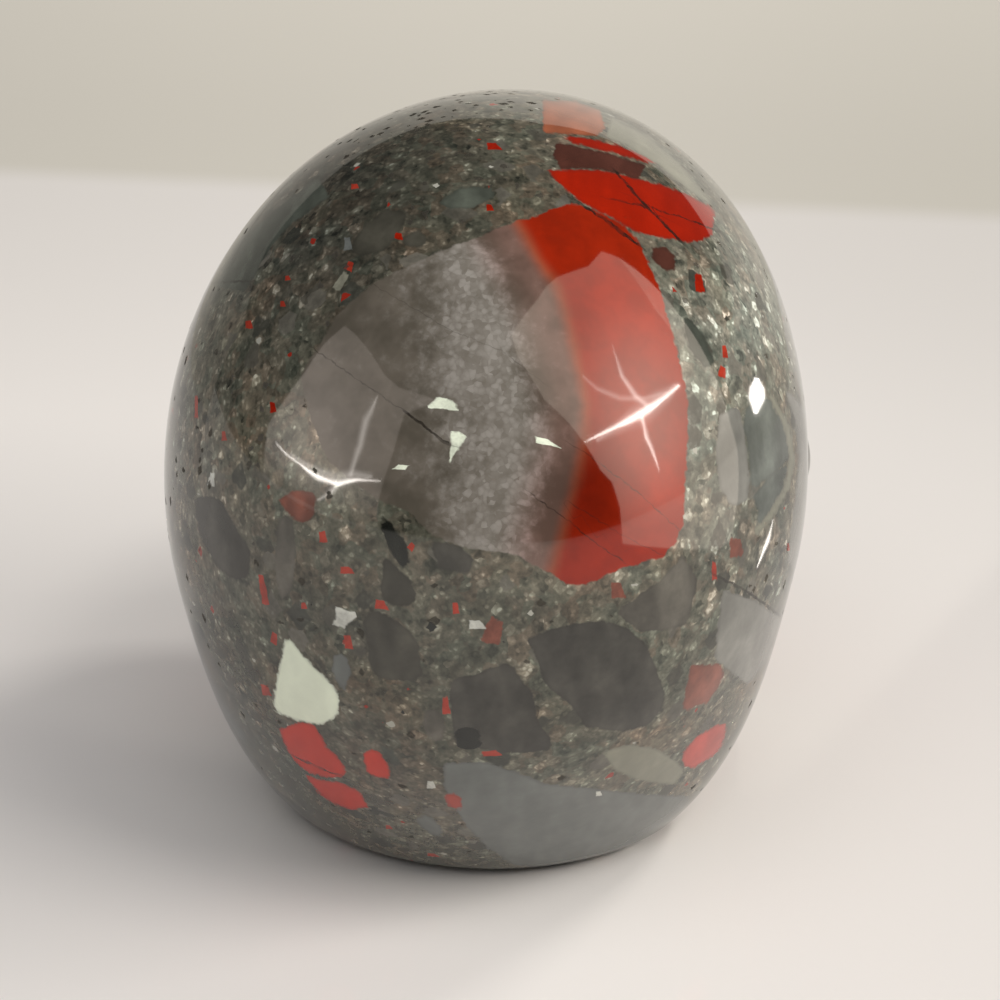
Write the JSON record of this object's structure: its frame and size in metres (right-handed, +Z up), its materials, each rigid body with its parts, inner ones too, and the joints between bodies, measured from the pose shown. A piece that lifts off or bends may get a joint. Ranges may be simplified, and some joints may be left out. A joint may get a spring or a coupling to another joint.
{
  "type": "carved stone skull",
  "caption": "Palm-sized human skull carved and polished from one piece of brecciated bloodstone, resting on a flat base.",
  "frame": {"origin": "centre of the bounding box at the flat base", "axes": "+Z up from the base, +Y towards the back of the cranium, -Y the way the face looks"},
  "size_m": [0.049, 0.0694, 0.0556],
  "materials": {
    "stone": "polished opaque stone: grey-green breccia with red jasper and grey agate fragments"
  },
  "bodies": {
    "root": {"skull": "stone"}
  },
  "joints": []
}
